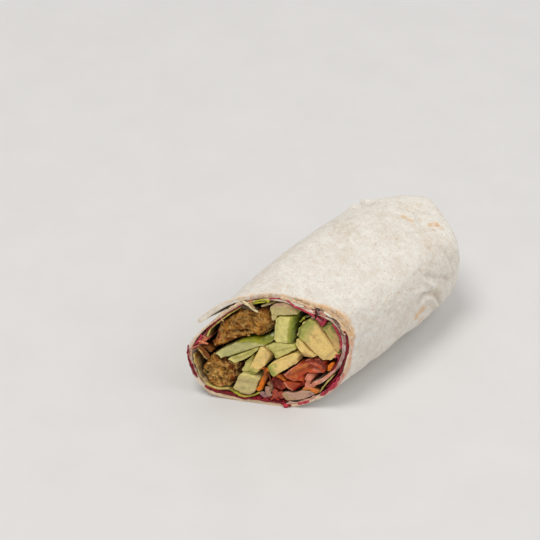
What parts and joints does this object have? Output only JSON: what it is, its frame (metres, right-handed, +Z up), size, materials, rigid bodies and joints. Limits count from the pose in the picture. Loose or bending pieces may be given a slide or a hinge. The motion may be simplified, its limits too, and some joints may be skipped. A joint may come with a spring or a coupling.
{
  "type": "falafel wrap half",
  "caption": "Half of a rolled flour tortilla wrap, cut at a slant to show falafel, cucumber, avocado, tomato, lettuce, carrot and beet spread, with its far end folded shut.",
  "frame": {"origin": "middle of the flat underside of the wrap's bounding box, on the surface it lies on", "axes": "+Y along the roll from the cut face to the folded end, +X to the right of someone facing the cut face, +Z up"},
  "size_m": [0.063, 0.1218, 0.0512],
  "materials": {
    "tortilla": "matt floury white bread with faint toasted freckles",
    "beet_spread": "moist magenta beetroot spread",
    "lettuce": "thin yellow-green leaf, slightly glossy",
    "falafel": "rough brown crumb with a darker fried crust",
    "cucumber": "moist pale green flesh with darker skin",
    "avocado": "smooth waxy yellow flesh, green towards the skin",
    "tomato": "wet red flesh",
    "carrot": "bright orange shreds",
    "onion": "pale pinkish translucent flesh"
  },
  "bodies": {
    "root": {"avocado_large": "avocado", "avocado_lower": "avocado", "avocado_middle_left": "avocado", "avocado_middle_right": "avocado", "avocado_right": "avocado", "beet_spread_bottom_left": "beet_spread", "beet_spread_bottom_right": "beet_spread", "beet_spread_left": "beet_spread", "beet_spread_right": "beet_spread", "beet_spread_top": "beet_spread", "carrot_long": "carrot", "carrot_right": "carrot", "carrot_strand": "carrot", "carrot_thread": "carrot", "cucumber_left": "cucumber", "cucumber_left_lower": "cucumber", "cucumber_lower": "cucumber", "cucumber_middle": "cucumber", "cucumber_sliver": "cucumber", "cucumber_top": "cucumber", "cucumber_upright": "cucumber", "falafel_lower": "falafel", "falafel_upper": "falafel", "lettuce_bottom": "lettuce", "lettuce_curl": "lettuce", "lettuce_fold": "lettuce", "lettuce_left": "lettuce", "lettuce_rib": "lettuce", "lettuce_right": "lettuce", "lettuce_sprig": "lettuce", "onion_block": "onion", "onion_strand": "onion", "tomato_fold": "tomato", "tomato_large": "tomato", "tomato_lower": "tomato", "tomato_wedge": "tomato", "tortilla": "tortilla"}
  },
  "joints": []
}
